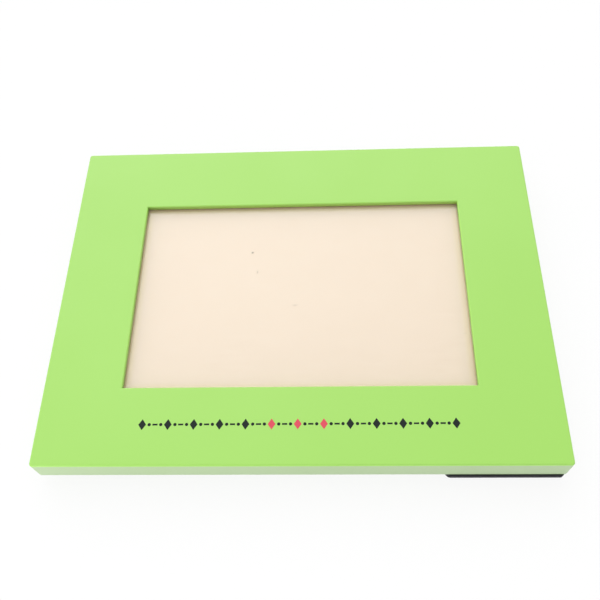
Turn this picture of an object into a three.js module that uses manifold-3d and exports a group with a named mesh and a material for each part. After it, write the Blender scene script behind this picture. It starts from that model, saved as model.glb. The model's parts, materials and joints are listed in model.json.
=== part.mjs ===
// Tabletop photo frame with a two-way easel back, lying face up with its leg folded.
// Units are millimetres. +Z is the way the face looks, +X runs along the long rails, +Y to the top rail.
// The origin is under the middle of the face, on the surface that the folded easel rests on.
import * as THREE from "three";
import { mergeVertices } from "three/addons/utils/BufferGeometryUtils.js";
import Module from "manifold-3d";

const wasm = await Module();
wasm.setup();

// Rails: four lengths of one fibreboard moulding, mitred at the corners
const FRAME_WIDTH = 203.2;
const FRAME_HEIGHT = 152.4;
const RAIL_WIDTH = 31.75;
const RAIL_DEPTH = 12;
const LIP_DEPTH = 2.3;
const RABBET_WIDTH = 7;
const FRONT_EDGE_RADIUS = 0.9;
const BACK_EDGE_RADIUS = 1.2;
const SIGHT_EDGE_RADIUS = 0.5;
const CORNER_RADIUS = 1.2;
const MITRE_GAP = 0.1;

// V nails, two driven across each mitre from behind
const NAIL_LEG = 7;
const NAIL_STEEL = 0.6;
const NAIL_HEIGHT = 7;
const NAIL_CLEARANCE = 0.12;
const OUTER_NAIL_INSET = 6;
const INNER_NAIL_INSET = 14;

// Glass, filler pad and backing, stacked in the rabbet and flush with the rails' back
const GLASS_THICKNESS = 1;
const PHOTO_SLOT = 0.2;
const BOARD_THICKNESS = 3;
const COVER_THICKNESS = 0.4;
const PANE_CLEARANCE = 0.65;
const SEAT_GAP = 0.1;

// Easel leg, on the diagonal so that the frame stands either way up
const EASEL_TURN_DEG = 45;
const OPEN_ANGLE_DEG = 40;
const LEG_LENGTH = 125;
const LEG_TOP_WIDTH = 32;
const LEG_THICKNESS = 2.1;
const LEG_CORNER_RADIUS = 1.2;
const FOOT_RUN = 43.5;
const FOOT_REACH = 0.4;
const FOOT_INSET = 1;

// Easel hinge: two steel leaves rolled round one pin
const LEAF_STEEL = 0.7;
const HINGE_WIDTH = 28;
const LEAF_LENGTH = 18;
const LEAF_CORNER_RADIUS = 4;
const FLAP_KNUCKLE = 9;
const BASE_KNUCKLE = 5;
const KNUCKLE_GAP = 0.3;
const KNUCKLE_CURL_DEG = 285;
const PIN_CLEARANCE = 0.1;
const STOP_GAP = 0.1;

// Rivets, two in each leaf
const RIVET_SPACING = 16;
const RIVET_SETBACK = 11;
const RIVET_RADIUS = 1.25;
const RIVET_HEAD_RADIUS = 2.5;
const RIVET_HEAD_HEIGHT = 0.6;
const CLINCH_RADIUS = 2;
const CLINCH_HEIGHT = 0.6;
const HOLE_CLEARANCE = 0.15;

// Turn buttons that hold the backing in, and their screws
const BUTTON_STEEL = 0.9;
const BUTTON_REACH = 16;
const BUTTON_ROOT_RADIUS = 5;
const BUTTON_TIP_RADIUS = 3.2;
const BUTTON_BEND_RADIUS = 10;
const BUTTON_BEND_RUN = 4.5;
const BUTTON_SETBACK = 8;
const RIGHT_BUTTON_SHIFT = 10;
const SCREW_RADIUS = 1.4;
const SCREW_LENGTH = 8;
const SCREW_POINT = 2.2;
const SCREW_HEAD_RADIUS = 3;
const SCREW_HEAD_HEIGHT = 1.5;

// Facets
const ROUND_SEGMENTS = 20;
const EDGE_CURVE_STEPS = 2;
const SHEET_CURVE_STEPS = 4;
const DOME_STEPS = 3;
const CUT_MARGIN = 1;
const MERGE_TOLERANCE = 1e-4;

// Places that follow from the sizes. Heights are from the rails' back face, positive towards the face.
const SIGHT_WIDTH = FRAME_WIDTH - 2 * RAIL_WIDTH;
const SIGHT_HEIGHT = FRAME_HEIGHT - 2 * RAIL_WIDTH;
const PANE_WIDTH = SIGHT_WIDTH + 2 * (RABBET_WIDTH - PANE_CLEARANCE);
const PANE_HEIGHT = SIGHT_HEIGHT + 2 * (RABBET_WIDTH - PANE_CLEARANCE);
const RABBET_EDGE = RAIL_WIDTH - RABBET_WIDTH;

const BOARD_Z = COVER_THICKNESS + SEAT_GAP;
const BOARD_TOP_Z = BOARD_Z + BOARD_THICKNESS;
const PAD_Z = BOARD_TOP_Z + SEAT_GAP;
const GLASS_Z = RAIL_DEPTH - LIP_DEPTH - SEAT_GAP - GLASS_THICKNESS;
const PAD_THICKNESS = GLASS_Z - PHOTO_SLOT - PAD_Z;

const LEAF_TOP_Z = -SEAT_GAP;
const LEG_Z = -SEAT_GAP - LEG_THICKNESS;
const LEG_COVER_Z = LEG_Z - SEAT_GAP - COVER_THICKNESS;
const FLAP_Z = LEG_COVER_Z - SEAT_GAP - LEAF_STEEL;
const FLAP_RIVET_Z = FLAP_Z - SEAT_GAP;
const BASE_RIVET_Z = LEAF_TOP_Z - LEAF_STEEL - SEAT_GAP;
const BACK_HEIGHT = RIVET_HEAD_HEIGHT - FLAP_RIVET_Z;
const CLINCH_POCKET = CLINCH_HEIGHT + SEAT_GAP;

const BARREL_RADIUS = (LEAF_TOP_Z - FLAP_Z) / 2;
const AXIS_Z = (LEAF_TOP_Z + FLAP_Z) / 2;
const BORE_RADIUS = BARREL_RADIUS - LEAF_STEEL;
const BARREL_CLEAR = BARREL_RADIUS + KNUCKLE_GAP;
const BARREL_HALF = FLAP_KNUCKLE / 2 + KNUCKLE_GAP + BASE_KNUCKLE;

const KNUCKLE_CURL = THREE.MathUtils.degToRad(KNUCKLE_CURL_DEG);
const EASEL_TURN = THREE.MathUtils.degToRad(EASEL_TURN_DEG);
const OPEN_ANGLE = THREE.MathUtils.degToRad(OPEN_ANGLE_DEG);
const HINGE_PLACE = new THREE.Vector2(0, LEG_LENGTH)
  .rotateAround(new THREE.Vector2(), EASEL_TURN)
  .add(new THREE.Vector2(FRAME_WIDTH / 2 - FOOT_INSET, -FRAME_HEIGHT / 2 - FOOT_REACH));
// The flap's ears reach past the pin and strike the base leaf when the leg is open.
const STOP_REACH =
  (BORE_RADIUS * (1 + Math.cos(OPEN_ANGLE)) - STOP_GAP) / Math.sin(OPEN_ANGLE);

const BUTTON_Z = -SEAT_GAP - BUTTON_STEEL;
const SCREW_HEAD_Z = BUTTON_Z - SEAT_GAP;

// Each rail is drawn as the bottom one, then turned about Z to its side of the frame.
const QUARTER_TURN = Math.PI / 2;
const RAILS = [
  { side: "bottom", length: FRAME_WIDTH, x: 0, y: -FRAME_HEIGHT / 2, turns: 0, shift: 0 },
  { side: "right", length: FRAME_HEIGHT, x: FRAME_WIDTH / 2, y: 0, turns: 1, shift: RIGHT_BUTTON_SHIFT },
  { side: "top", length: FRAME_WIDTH, x: 0, y: FRAME_HEIGHT / 2, turns: 2, shift: 0 },
  { side: "left", length: FRAME_HEIGHT, x: -FRAME_WIDTH / 2, y: 0, turns: 3, shift: 0 },
];
const CORNERS = [
  { name: "bottom_left", x: -FRAME_WIDTH / 2, y: -FRAME_HEIGHT / 2, turns: 0 },
  { name: "bottom_right", x: FRAME_WIDTH / 2, y: -FRAME_HEIGHT / 2, turns: 1 },
  { name: "top_right", x: FRAME_WIDTH / 2, y: FRAME_HEIGHT / 2, turns: 2 },
  { name: "top_left", x: -FRAME_WIDTH / 2, y: FRAME_HEIGHT / 2, turns: 3 },
];
const NAIL_INSETS = { outer: OUTER_NAIL_INSET, inner: INNER_NAIL_INSET };

// Materials
const greenLacquer = new THREE.MeshStandardMaterial({ color: 0xb2e67a, roughness: 0.3 });
const clearGlass = new THREE.MeshStandardMaterial({
  color: 0xf4faf6,
  roughness: 0.05,
  transparent: true,
  opacity: 0.2,
});
const kraftBoard = new THREE.MeshStandardMaterial({ color: 0xf6e4cc, roughness: 0.9 });
const greyBoard = new THREE.MeshStandardMaterial({ color: 0xb9a78c, roughness: 0.9 });
const blackBoard = new THREE.MeshStandardMaterial({ color: 0x2b2c2f, roughness: 0.85 });
const blackFlock = new THREE.MeshStandardMaterial({ color: 0x161618, roughness: 1 });
const nickelSteel = new THREE.MeshStandardMaterial({ color: 0xc4c4c0, roughness: 0.3, metalness: 1 });
const zincSteel = new THREE.MeshStandardMaterial({ color: 0xb8bcc0, roughness: 0.4, metalness: 1 });

// A closed three.js geometry as a manifold solid.
function solidFrom(geometry) {
  const bare = geometry.clone();
  bare.deleteAttribute("normal");
  bare.deleteAttribute("uv");
  const merged = mergeVertices(bare, MERGE_TOLERANCE);
  const vertProperties = new Float32Array(merged.attributes.position.array);
  const triVerts = new Uint32Array(merged.index.array);
  return new wasm.Manifold(new wasm.Mesh({ numProp: 3, vertProperties, triVerts }));
}

// A manifold solid as a flat-shaded three.js geometry.
function geometryFrom(solid) {
  const { vertProperties, triVerts } = solid.getMesh();
  const indexed = new THREE.BufferGeometry();
  indexed.setAttribute("position", new THREE.BufferAttribute(vertProperties, 3));
  indexed.setIndex(new THREE.BufferAttribute(triVerts, 1));
  const flat = indexed.toNonIndexed();
  flat.computeVertexNormals();
  return flat;
}

// The geometry with every tool cut out of it.
function cut(geometry, tools) {
  const solid = tools.reduce((rest, tool) => rest.subtract(solidFrom(tool)), solidFrom(geometry));
  return geometryFrom(solid);
}

// The geometries joined into one body.
function join(geometries) {
  const [first, ...others] = geometries.map(solidFrom);
  return geometryFrom(others.reduce((whole, other) => whole.add(other), first));
}

// A flat outline raised from height z by the given thickness.
function raise(shape, z, thickness, curveSegments = ROUND_SEGMENTS / 2) {
  const geometry = new THREE.ExtrudeGeometry(shape, {
    depth: thickness,
    bevelEnabled: false,
    curveSegments,
  });
  return geometry.translate(0, 0, z);
}

// A section drawn in the YZ plane, run along X and centred on x = 0.
function runAlongX(section, length, curveSegments) {
  const yzToX = new THREE.Matrix4().makeBasis(
    new THREE.Vector3(0, 1, 0),
    new THREE.Vector3(0, 0, 1),
    new THREE.Vector3(1, 0, 0),
  );
  return raise(section, -length / 2, length, curveSegments).applyMatrix4(yzToX);
}

// A round bar along Z, between two heights.
function bar(place, radius, lowZ, highZ) {
  const geometry = new THREE.CylinderGeometry(radius, radius, highZ - lowZ, ROUND_SEGMENTS);
  return geometry.rotateX(QUARTER_TURN).translate(place.x, place.y, (lowZ + highZ) / 2);
}

// A profile of radius and height turned about Z.
function turn(profile) {
  return new THREE.LatheGeometry(profile, ROUND_SEGMENTS).rotateX(QUARTER_TURN);
}

// A rectangle centred on the origin, with round corners.
function roundedRectangle(width, height, radius) {
  const right = width / 2 - radius;
  const top = height / 2 - radius;
  const shape = new THREE.Shape();
  shape.absarc(right, top, radius, 0, QUARTER_TURN);
  shape.absarc(-right, top, radius, QUARTER_TURN, Math.PI);
  shape.absarc(-right, -top, radius, Math.PI, 3 * QUARTER_TURN);
  shape.absarc(right, -top, radius, 3 * QUARTER_TURN, 4 * QUARTER_TURN);
  return shape;
}

// A closed outline through corner points, each rounded by the same radius.
function roundedOutline(corners, radius) {
  const shape = new THREE.Shape();
  corners.forEach((corner, index) => {
    const before = corners.at(index - 1);
    const after = corners[(index + 1) % corners.length];
    const toBefore = before.clone().sub(corner).normalize();
    const toAfter = after.clone().sub(corner).normalize();
    const halfAngle = Math.acos(toBefore.dot(toAfter)) / 2;
    const tangent = radius / Math.tan(halfAngle);
    const enter = corner.clone().addScaledVector(toBefore, tangent);
    const leave = corner.clone().addScaledVector(toAfter, tangent);
    if (index === 0) {
      shape.moveTo(enter.x, enter.y);
    } else {
      shape.lineTo(enter.x, enter.y);
    }
    shape.quadraticCurveTo(corner.x, corner.y, leave.x, leave.y);
  });
  shape.closePath();
  return shape;
}

function namedMesh(name, geometry, material) {
  const mesh = new THREE.Mesh(geometry, material);
  mesh.name = name;
  return mesh;
}

// The moulding's section: x is the distance in from the outer edge, y the height above the back.
function mouldingSection() {
  const lipZ = RAIL_DEPTH - LIP_DEPTH;
  const section = new THREE.Shape();
  section.moveTo(BACK_EDGE_RADIUS, 0);
  section.lineTo(RABBET_EDGE, 0);
  section.lineTo(RABBET_EDGE, lipZ);
  section.lineTo(RAIL_WIDTH, lipZ);
  section.absarc(
    RAIL_WIDTH - SIGHT_EDGE_RADIUS, RAIL_DEPTH - SIGHT_EDGE_RADIUS, SIGHT_EDGE_RADIUS, 0, QUARTER_TURN,
  );
  section.absarc(
    FRONT_EDGE_RADIUS, RAIL_DEPTH - FRONT_EDGE_RADIUS, FRONT_EDGE_RADIUS, QUARTER_TURN, Math.PI,
  );
  section.absarc(BACK_EDGE_RADIUS, BACK_EDGE_RADIUS, BACK_EDGE_RADIUS, Math.PI, 3 * QUARTER_TURN);
  return section;
}

// What the two mitre cuts leave of a rail, half the glue line short of the 45 degree planes.
function mitreBlank(length) {
  const low = -CUT_MARGIN;
  const high = RAIL_WIDTH + CUT_MARGIN;
  const end = length / 2 - MITRE_GAP / Math.SQRT2;
  const outline = new THREE.Shape([
    new THREE.Vector2(-end + low, low),
    new THREE.Vector2(end - low, low),
    new THREE.Vector2(end - high, high),
    new THREE.Vector2(-end + high, high),
  ]);
  return raise(outline, -CUT_MARGIN, RAIL_DEPTH + 2 * CUT_MARGIN);
}

// A V nail's outline, its two legs along +X and +Y from the mitre, grown on every side.
function nailOutline(grow) {
  const tip = NAIL_LEG + grow;
  const inner = NAIL_STEEL + grow;
  return new THREE.Shape([
    new THREE.Vector2(-grow, -grow),
    new THREE.Vector2(tip, -grow),
    new THREE.Vector2(tip, inner),
    new THREE.Vector2(inner, inner),
    new THREE.Vector2(inner, tip),
    new THREE.Vector2(-grow, tip),
  ]);
}

// The slots that a rail's end shares with its neighbour, in the rail's own place.
function nailSlots(length) {
  return Object.values(NAIL_INSETS).flatMap((inset) => {
    const slot = raise(nailOutline(NAIL_CLEARANCE), -CUT_MARGIN, NAIL_HEIGHT + NAIL_CLEARANCE + CUT_MARGIN);
    const left = slot.clone().translate(-length / 2 + inset, inset, 0);
    const right = slot.clone().rotateZ(QUARTER_TURN).translate(length / 2 - inset, inset, 0);
    return [left, right];
  });
}

// One mitred rail, its outer edge along X at y = 0 and its back at z = 0.
function railGeometry({ length, x, y, turns, shift }) {
  const moulding = solidFrom(runAlongX(mouldingSection(), length, EDGE_CURVE_STEPS));
  const outer = raise(
    roundedRectangle(FRAME_WIDTH, FRAME_HEIGHT, CORNER_RADIUS),
    -CUT_MARGIN,
    RAIL_DEPTH + 2 * CUT_MARGIN,
    EDGE_CURVE_STEPS,
  );
  outer.translate(-x, -y, 0).rotateZ(-turns * QUARTER_TURN);
  const mitred = moulding.intersect(solidFrom(mitreBlank(length))).intersect(solidFrom(outer));
  const screwPlace = new THREE.Vector2(shift, RABBET_EDGE - BUTTON_SETBACK);
  const pilot = bar(screwPlace, SCREW_RADIUS + HOLE_CLEARANCE, -CUT_MARGIN, SCREW_LENGTH + HOLE_CLEARANCE);
  return cut(geometryFrom(mitred), [pilot, ...nailSlots(length)]);
}

function nailGeometry() {
  return raise(nailOutline(0), 0, NAIL_HEIGHT);
}

// A turn button's outline round its screw, pointing along +Y.
function buttonOutline() {
  const tipY = BUTTON_REACH - BUTTON_TIP_RADIUS;
  const lean = Math.asin((BUTTON_ROOT_RADIUS - BUTTON_TIP_RADIUS) / tipY);
  const outline = new THREE.Shape();
  outline.absarc(0, tipY, BUTTON_TIP_RADIUS, lean, Math.PI - lean);
  outline.absarc(0, 0, BUTTON_ROOT_RADIUS, Math.PI - lean, 2 * Math.PI + lean);
  const hole = new THREE.Path();
  hole.absarc(0, 0, SCREW_RADIUS + HOLE_CLEARANCE, 0, 2 * Math.PI);
  outline.holes.push(hole);
  return outline;
}

// A turn button stamped from strip, its tip bent away from the frame for a finger.
function buttonGeometry() {
  const tailY = -BUTTON_ROOT_RADIUS - CUT_MARGIN;
  const bendY = BUTTON_REACH - BUTTON_BEND_RUN;
  const bendZ = BUTTON_Z - BUTTON_BEND_RADIUS;
  const outerRadius = BUTTON_BEND_RADIUS + BUTTON_STEEL;
  const strip = new THREE.Shape();
  strip.absarc(bendY, bendZ, outerRadius, QUARTER_TURN / 2, QUARTER_TURN);
  strip.lineTo(tailY, BUTTON_Z + BUTTON_STEEL);
  strip.lineTo(tailY, BUTTON_Z);
  strip.absarc(bendY, bendZ, BUTTON_BEND_RADIUS, QUARTER_TURN, QUARTER_TURN / 2, true);
  const bent = runAlongX(strip, 2 * (BUTTON_ROOT_RADIUS + CUT_MARGIN), SHEET_CURVE_STEPS);
  const blank = raise(buttonOutline(), bendZ, outerRadius + CUT_MARGIN);
  return geometryFrom(solidFrom(bent).intersect(solidFrom(blank)));
}

// A pan head screw, its point up in the rail and its head below the button.
function screwGeometry() {
  const profile = new THREE.Path();
  profile.moveTo(0, SCREW_HEAD_Z - SCREW_HEAD_HEIGHT);
  profile.absellipse(
    0, SCREW_HEAD_Z, SCREW_HEAD_RADIUS, SCREW_HEAD_HEIGHT, -QUARTER_TURN, 0, false,
  );
  profile.lineTo(SCREW_RADIUS, SCREW_HEAD_Z);
  profile.lineTo(SCREW_RADIUS, SCREW_LENGTH - SCREW_POINT);
  profile.lineTo(0, SCREW_LENGTH);
  return turn(profile.getPoints(DOME_STEPS));
}

// A domed rivet: its head seats below headZ, and its clinched end stands on clinchZ.
function rivetGeometry(headZ, clinchZ) {
  const profile = new THREE.Path();
  profile.moveTo(0, headZ - RIVET_HEAD_HEIGHT);
  profile.absellipse(0, headZ, RIVET_HEAD_RADIUS, RIVET_HEAD_HEIGHT, -QUARTER_TURN, 0, false);
  profile.lineTo(RIVET_RADIUS, headZ);
  profile.lineTo(RIVET_RADIUS, clinchZ);
  profile.lineTo(CLINCH_RADIUS, clinchZ);
  profile.lineTo(CLINCH_RADIUS, clinchZ + CLINCH_HEIGHT);
  profile.lineTo(0, clinchZ + CLINCH_HEIGHT);
  return turn(profile.getPoints(DOME_STEPS));
}

// A sheet with a hole for each rivet and a pocket for its clinched end in the upper face.
function boredSheet(outline, z, thickness, rivetPlaces, pocketed) {
  const top = z + thickness;
  const holes = rivetPlaces.map((place) =>
    bar(place, RIVET_RADIUS + HOLE_CLEARANCE, z - CUT_MARGIN, top + CUT_MARGIN),
  );
  const pockets = rivetPlaces.map((place) =>
    bar(place, CLINCH_RADIUS + HOLE_CLEARANCE, top - CLINCH_POCKET, top + CUT_MARGIN),
  );
  const blank = raise(outline, z, thickness, SHEET_CURVE_STEPS);
  return cut(blank, pocketed ? [...holes, ...pockets] : holes);
}

// The pair of rivets in a leaf, at the given distance along Y from the hinge pin.
function rivetPair(y) {
  return [new THREE.Vector2(-RIVET_SPACING / 2, y), new THREE.Vector2(RIVET_SPACING / 2, y)];
}

// A place on the easel, in the frame's own coordinates.
function easelToFrame(place) {
  return place.clone().rotateAround(new THREE.Vector2(), EASEL_TURN).add(HINGE_PLACE);
}

// The leg's outline from the hinge pin at the origin down to the foot at -Y.
// The foot has two cuts at a right angle: one for standing on the long side, one for the short side.
function legOutline() {
  const origin = new THREE.Vector2();
  const foot = new THREE.Vector2(0, -LEG_LENGTH);
  const longCut = new THREE.Vector2(-FOOT_RUN, 0).rotateAround(origin, -EASEL_TURN).add(foot);
  const shortCut = new THREE.Vector2(0, FOOT_RUN).rotateAround(origin, -EASEL_TURN).add(foot);
  const corners = [
    foot,
    shortCut,
    new THREE.Vector2(LEG_TOP_WIDTH / 2, -BARREL_CLEAR),
    new THREE.Vector2(-LEG_TOP_WIDTH / 2, -BARREL_CLEAR),
    longCut,
  ];
  return roundedOutline(corners, LEG_CORNER_RADIUS);
}

// A tongue rolled round the pin, between two places along X. It comes in along +Y at the barrel's top,
// or half a turn round from there, along -Y at the bottom.
function knuckle(fromX, toX, halfTurns) {
  const end = QUARTER_TURN + KNUCKLE_CURL;
  const curl = new THREE.Shape();
  curl.absarc(0, 0, BARREL_RADIUS, QUARTER_TURN, end);
  curl.absarc(0, 0, BORE_RADIUS, end, QUARTER_TURN, true);
  curl.lineTo(BARREL_CLEAR, BORE_RADIUS);
  curl.lineTo(BARREL_CLEAR, BARREL_RADIUS);
  const width = toX - fromX;
  return runAlongX(curl, width, ROUND_SEGMENTS)
    .rotateX(halfTurns * Math.PI)
    .translate(fromX + width / 2, 0, AXIS_Z);
}

// The leaf on the backing: flat from its round corners to the pin, with a gap for the flap's knuckle.
function hingeBaseGeometry() {
  const half = HINGE_WIDTH / 2;
  const gap = FLAP_KNUCKLE / 2 + KNUCKLE_GAP;
  const cornerX = half - LEAF_CORNER_RADIUS;
  const cornerY = LEAF_LENGTH - LEAF_CORNER_RADIUS;
  const leaf = new THREE.Shape();
  leaf.moveTo(-half, 0);
  leaf.lineTo(-gap, 0);
  leaf.lineTo(-gap, BARREL_CLEAR);
  leaf.lineTo(gap, BARREL_CLEAR);
  leaf.lineTo(gap, 0);
  leaf.lineTo(half, 0);
  leaf.absarc(cornerX, cornerY, LEAF_CORNER_RADIUS, 0, QUARTER_TURN);
  leaf.absarc(-cornerX, cornerY, LEAF_CORNER_RADIUS, QUARTER_TURN, Math.PI);
  const plate = boredSheet(leaf, LEAF_TOP_Z - LEAF_STEEL, LEAF_STEEL, rivetPair(RIVET_SETBACK), false);
  return join([plate, knuckle(-BARREL_HALF, -gap, 0), knuckle(gap, BARREL_HALF, 0)]);
}

// The leaf on the leg: it rolls into one knuckle, and an ear on each side is the stop.
function hingeFlapGeometry() {
  const half = HINGE_WIDTH / 2;
  const roll = FLAP_KNUCKLE / 2;
  const ear = BARREL_HALF + KNUCKLE_GAP;
  const cornerX = half - LEAF_CORNER_RADIUS;
  const cornerY = LEAF_CORNER_RADIUS - LEAF_LENGTH;
  const leaf = new THREE.Shape();
  leaf.absarc(-cornerX, cornerY, LEAF_CORNER_RADIUS, Math.PI, 3 * QUARTER_TURN);
  leaf.absarc(cornerX, cornerY, LEAF_CORNER_RADIUS, 3 * QUARTER_TURN, 4 * QUARTER_TURN);
  leaf.lineTo(half, STOP_REACH);
  leaf.lineTo(ear, STOP_REACH);
  leaf.lineTo(ear, -BARREL_CLEAR);
  leaf.lineTo(roll, -BARREL_CLEAR);
  leaf.lineTo(roll, 0);
  leaf.lineTo(-roll, 0);
  leaf.lineTo(-roll, -BARREL_CLEAR);
  leaf.lineTo(-ear, -BARREL_CLEAR);
  leaf.lineTo(-ear, STOP_REACH);
  leaf.lineTo(-half, STOP_REACH);
  const plate = boredSheet(leaf, FLAP_Z, LEAF_STEEL, rivetPair(-RIVET_SETBACK), false);
  return join([plate, knuckle(-roll, roll, 1)]);
}

function pinGeometry() {
  const radius = BORE_RADIUS - PIN_CLEARANCE;
  const pin = new THREE.CylinderGeometry(radius, radius, 2 * BARREL_HALF, ROUND_SEGMENTS);
  return pin.rotateZ(QUARTER_TURN).translate(0, 0, AXIS_Z);
}

// The four rails, each with its turn button and screw.
function buildRails() {
  const group = new THREE.Group();
  for (const rail of RAILS) {
    const side = new THREE.Group();
    side.position.set(rail.x, rail.y, 0);
    side.rotation.z = rail.turns * QUARTER_TURN;
    side.add(namedMesh(`rail_${rail.side}`, railGeometry(rail), greenLacquer));
    const button = namedMesh(`turn_button_${rail.side}`, buttonGeometry(), zincSteel);
    const screw = namedMesh(`button_screw_${rail.side}`, screwGeometry(), zincSteel);
    for (const piece of [button, screw]) {
      piece.position.set(rail.shift, RABBET_EDGE - BUTTON_SETBACK, 0);
      side.add(piece);
    }
    group.add(side);
  }
  return group;
}

// Two V nails across each mitre.
function buildNails() {
  const group = new THREE.Group();
  for (const corner of CORNERS) {
    const place = new THREE.Group();
    place.position.set(corner.x, corner.y, 0);
    place.rotation.z = corner.turns * QUARTER_TURN;
    for (const [row, inset] of Object.entries(NAIL_INSETS)) {
      const nail = namedMesh(`v_nail_${corner.name}_${row}`, nailGeometry(), greenLacquer);
      nail.position.set(inset, inset, 0);
      place.add(nail);
    }
    group.add(place);
  }
  return group;
}

// Glass, pad, board and the board's cover, from the lip backwards.
function buildBacking() {
  const group = new THREE.Group();
  const pane = roundedRectangle(PANE_WIDTH, PANE_HEIGHT, PANE_CLEARANCE);
  const rivets = rivetPair(RIVET_SETBACK).map(easelToFrame);
  group.add(namedMesh("glass_pane", raise(pane, GLASS_Z, GLASS_THICKNESS, EDGE_CURVE_STEPS), clearGlass));
  group.add(namedMesh("filler_pad", raise(pane, PAD_Z, PAD_THICKNESS, EDGE_CURVE_STEPS), kraftBoard));
  group.add(namedMesh("backing_board", boredSheet(pane, BOARD_Z, BOARD_THICKNESS, rivets, true), greyBoard));
  group.add(namedMesh("backing_cover", boredSheet(pane, 0, COVER_THICKNESS, rivets, false), blackFlock));
  return group;
}

// The easel: the leg with its cover, the hinge and its rivets, turned to the frame's diagonal.
function buildEasel() {
  const group = new THREE.Group();
  group.position.set(HINGE_PLACE.x, HINGE_PLACE.y, 0);
  group.rotation.z = EASEL_TURN;
  const legRivets = rivetPair(-RIVET_SETBACK);
  const leg = boredSheet(legOutline(), LEG_Z, LEG_THICKNESS, legRivets, true);
  const legCover = boredSheet(legOutline(), LEG_COVER_Z, COVER_THICKNESS, legRivets, false);
  group.add(namedMesh("easel_leg", leg, blackBoard));
  group.add(namedMesh("leg_cover", legCover, blackFlock));
  group.add(namedMesh("hinge_base", hingeBaseGeometry(), nickelSteel));
  group.add(namedMesh("hinge_flap", hingeFlapGeometry(), nickelSteel));
  group.add(namedMesh("hinge_pin", pinGeometry(), nickelSteel));
  const boardClinchZ = BOARD_TOP_Z - CLINCH_HEIGHT;
  const legClinchZ = LEG_Z + LEG_THICKNESS - CLINCH_HEIGHT;
  const rows = [
    { name: "base_rivet", y: RIVET_SETBACK, geometry: rivetGeometry(BASE_RIVET_Z, boardClinchZ) },
    { name: "leg_rivet", y: -RIVET_SETBACK, geometry: rivetGeometry(FLAP_RIVET_Z, legClinchZ) },
  ];
  for (const { name, y, geometry } of rows) {
    const [left, right] = rivetPair(y);
    for (const [hand, place] of Object.entries({ left, right })) {
      const rivet = namedMesh(`${name}_${hand}`, geometry, nickelSteel);
      rivet.position.set(place.x, place.y, 0);
      group.add(rivet);
    }
  }
  return group;
}

const photoFrame = new THREE.Group();
photoFrame.position.z = BACK_HEIGHT;
photoFrame.add(buildRails(), buildNails(), buildBacking(), buildEasel());

const onSurface = new THREE.Group();
onSurface.add(photoFrame);

export default onSurface;
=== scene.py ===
"""The looks of a lacquered tabletop photo frame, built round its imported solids.

The frame lies face up on a pale floor, with its easel leg folded under it. Sizes are written in
millimetres and become metres through MM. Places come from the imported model's boxes and joints.
"""

import json
import logging
import math
from collections.abc import Callable, Iterable, Sequence
from dataclasses import dataclass
from enum import Enum

import bmesh
import bpy
from bmesh.types import BMEdge, BMesh, BMFace, BMVert
from bpy.types import ID, Material, NodeSocket, NodeTree, Object, World
from mathutils import Matrix, Vector


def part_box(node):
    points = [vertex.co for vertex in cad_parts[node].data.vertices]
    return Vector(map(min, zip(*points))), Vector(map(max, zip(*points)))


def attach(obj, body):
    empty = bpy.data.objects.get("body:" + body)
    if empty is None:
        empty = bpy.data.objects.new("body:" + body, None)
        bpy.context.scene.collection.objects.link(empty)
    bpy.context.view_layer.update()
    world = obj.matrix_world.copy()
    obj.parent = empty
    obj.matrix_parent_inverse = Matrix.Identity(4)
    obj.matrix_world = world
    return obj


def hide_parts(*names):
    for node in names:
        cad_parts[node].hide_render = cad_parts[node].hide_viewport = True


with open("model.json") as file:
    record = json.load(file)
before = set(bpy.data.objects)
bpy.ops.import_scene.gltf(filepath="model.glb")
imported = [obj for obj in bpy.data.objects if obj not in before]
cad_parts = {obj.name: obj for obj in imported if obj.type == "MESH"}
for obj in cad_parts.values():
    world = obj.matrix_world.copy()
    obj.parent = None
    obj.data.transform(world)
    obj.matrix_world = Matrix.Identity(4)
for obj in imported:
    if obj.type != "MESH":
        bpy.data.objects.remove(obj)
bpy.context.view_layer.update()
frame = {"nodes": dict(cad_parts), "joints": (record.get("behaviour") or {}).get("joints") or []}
JOINTS = {joint["name"]: joint for joint in frame["joints"]}
V_NAILS = {name: node for name, node in frame["nodes"].items() if name.startswith("v_nail_")}
# The frame's highest corner, and the window's corner at the height of the rails' back.
OUTER = Vector((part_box("rail_right")[1].x, *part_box("rail_top")[1].yz))
SIGHT = Vector((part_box("rail_right")[0].x, *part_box("rail_top")[0].yz))

MM = 0.001
UP = Vector((0, 0, 1))
DIAGONAL = Vector((1, 1, 0))
FULL_TURN = 2 * math.pi
SMOOTH_ANGLE = math.radians(32)
SHARP_ANGLE = math.radians(50)
MERGE_DISTANCE = 0.0005 * MM
ROUND_STEPS = 32
DOME_STEPS = 8

# The least dot product of two directions that count as one.
SAME_WAY = 0.999
# In millimetres: how far a cutting tool stands out of what it cuts, how far a point may be off a
# level, and how far off it is still beside a line.
CUT_MARGIN = 1.0
LEVEL = 0.01
BESIDE = 1.0

EASED = {"interpolation_type": "SMOOTHSTEP"}

Point = tuple[float, float]
Triple = tuple[float, float, float]

log = logging.getLogger("photo_frame")


class Side(Enum):
    """A side of the frame, by the way its rail faces outwards."""

    BOTTOM = (0, -1)
    RIGHT = (1, 0)
    TOP = (0, 1)
    LEFT = (-1, 0)

    @property
    def label(self) -> str:
        """The side's word in the names of nodes and bodies."""
        return self.name.lower()

    @property
    def outward(self) -> Vector:
        """The direction from the window to this side's outer edge."""
        return Vector((*self.value, 0))


class Hand(Enum):
    """The left or right one of a pair, by its sign along the hinge pin or the rail."""

    LEFT = -1
    RIGHT = 1

    @property
    def label(self) -> str:
        """The hand's word in the names of nodes."""
        return self.name.lower()


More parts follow.
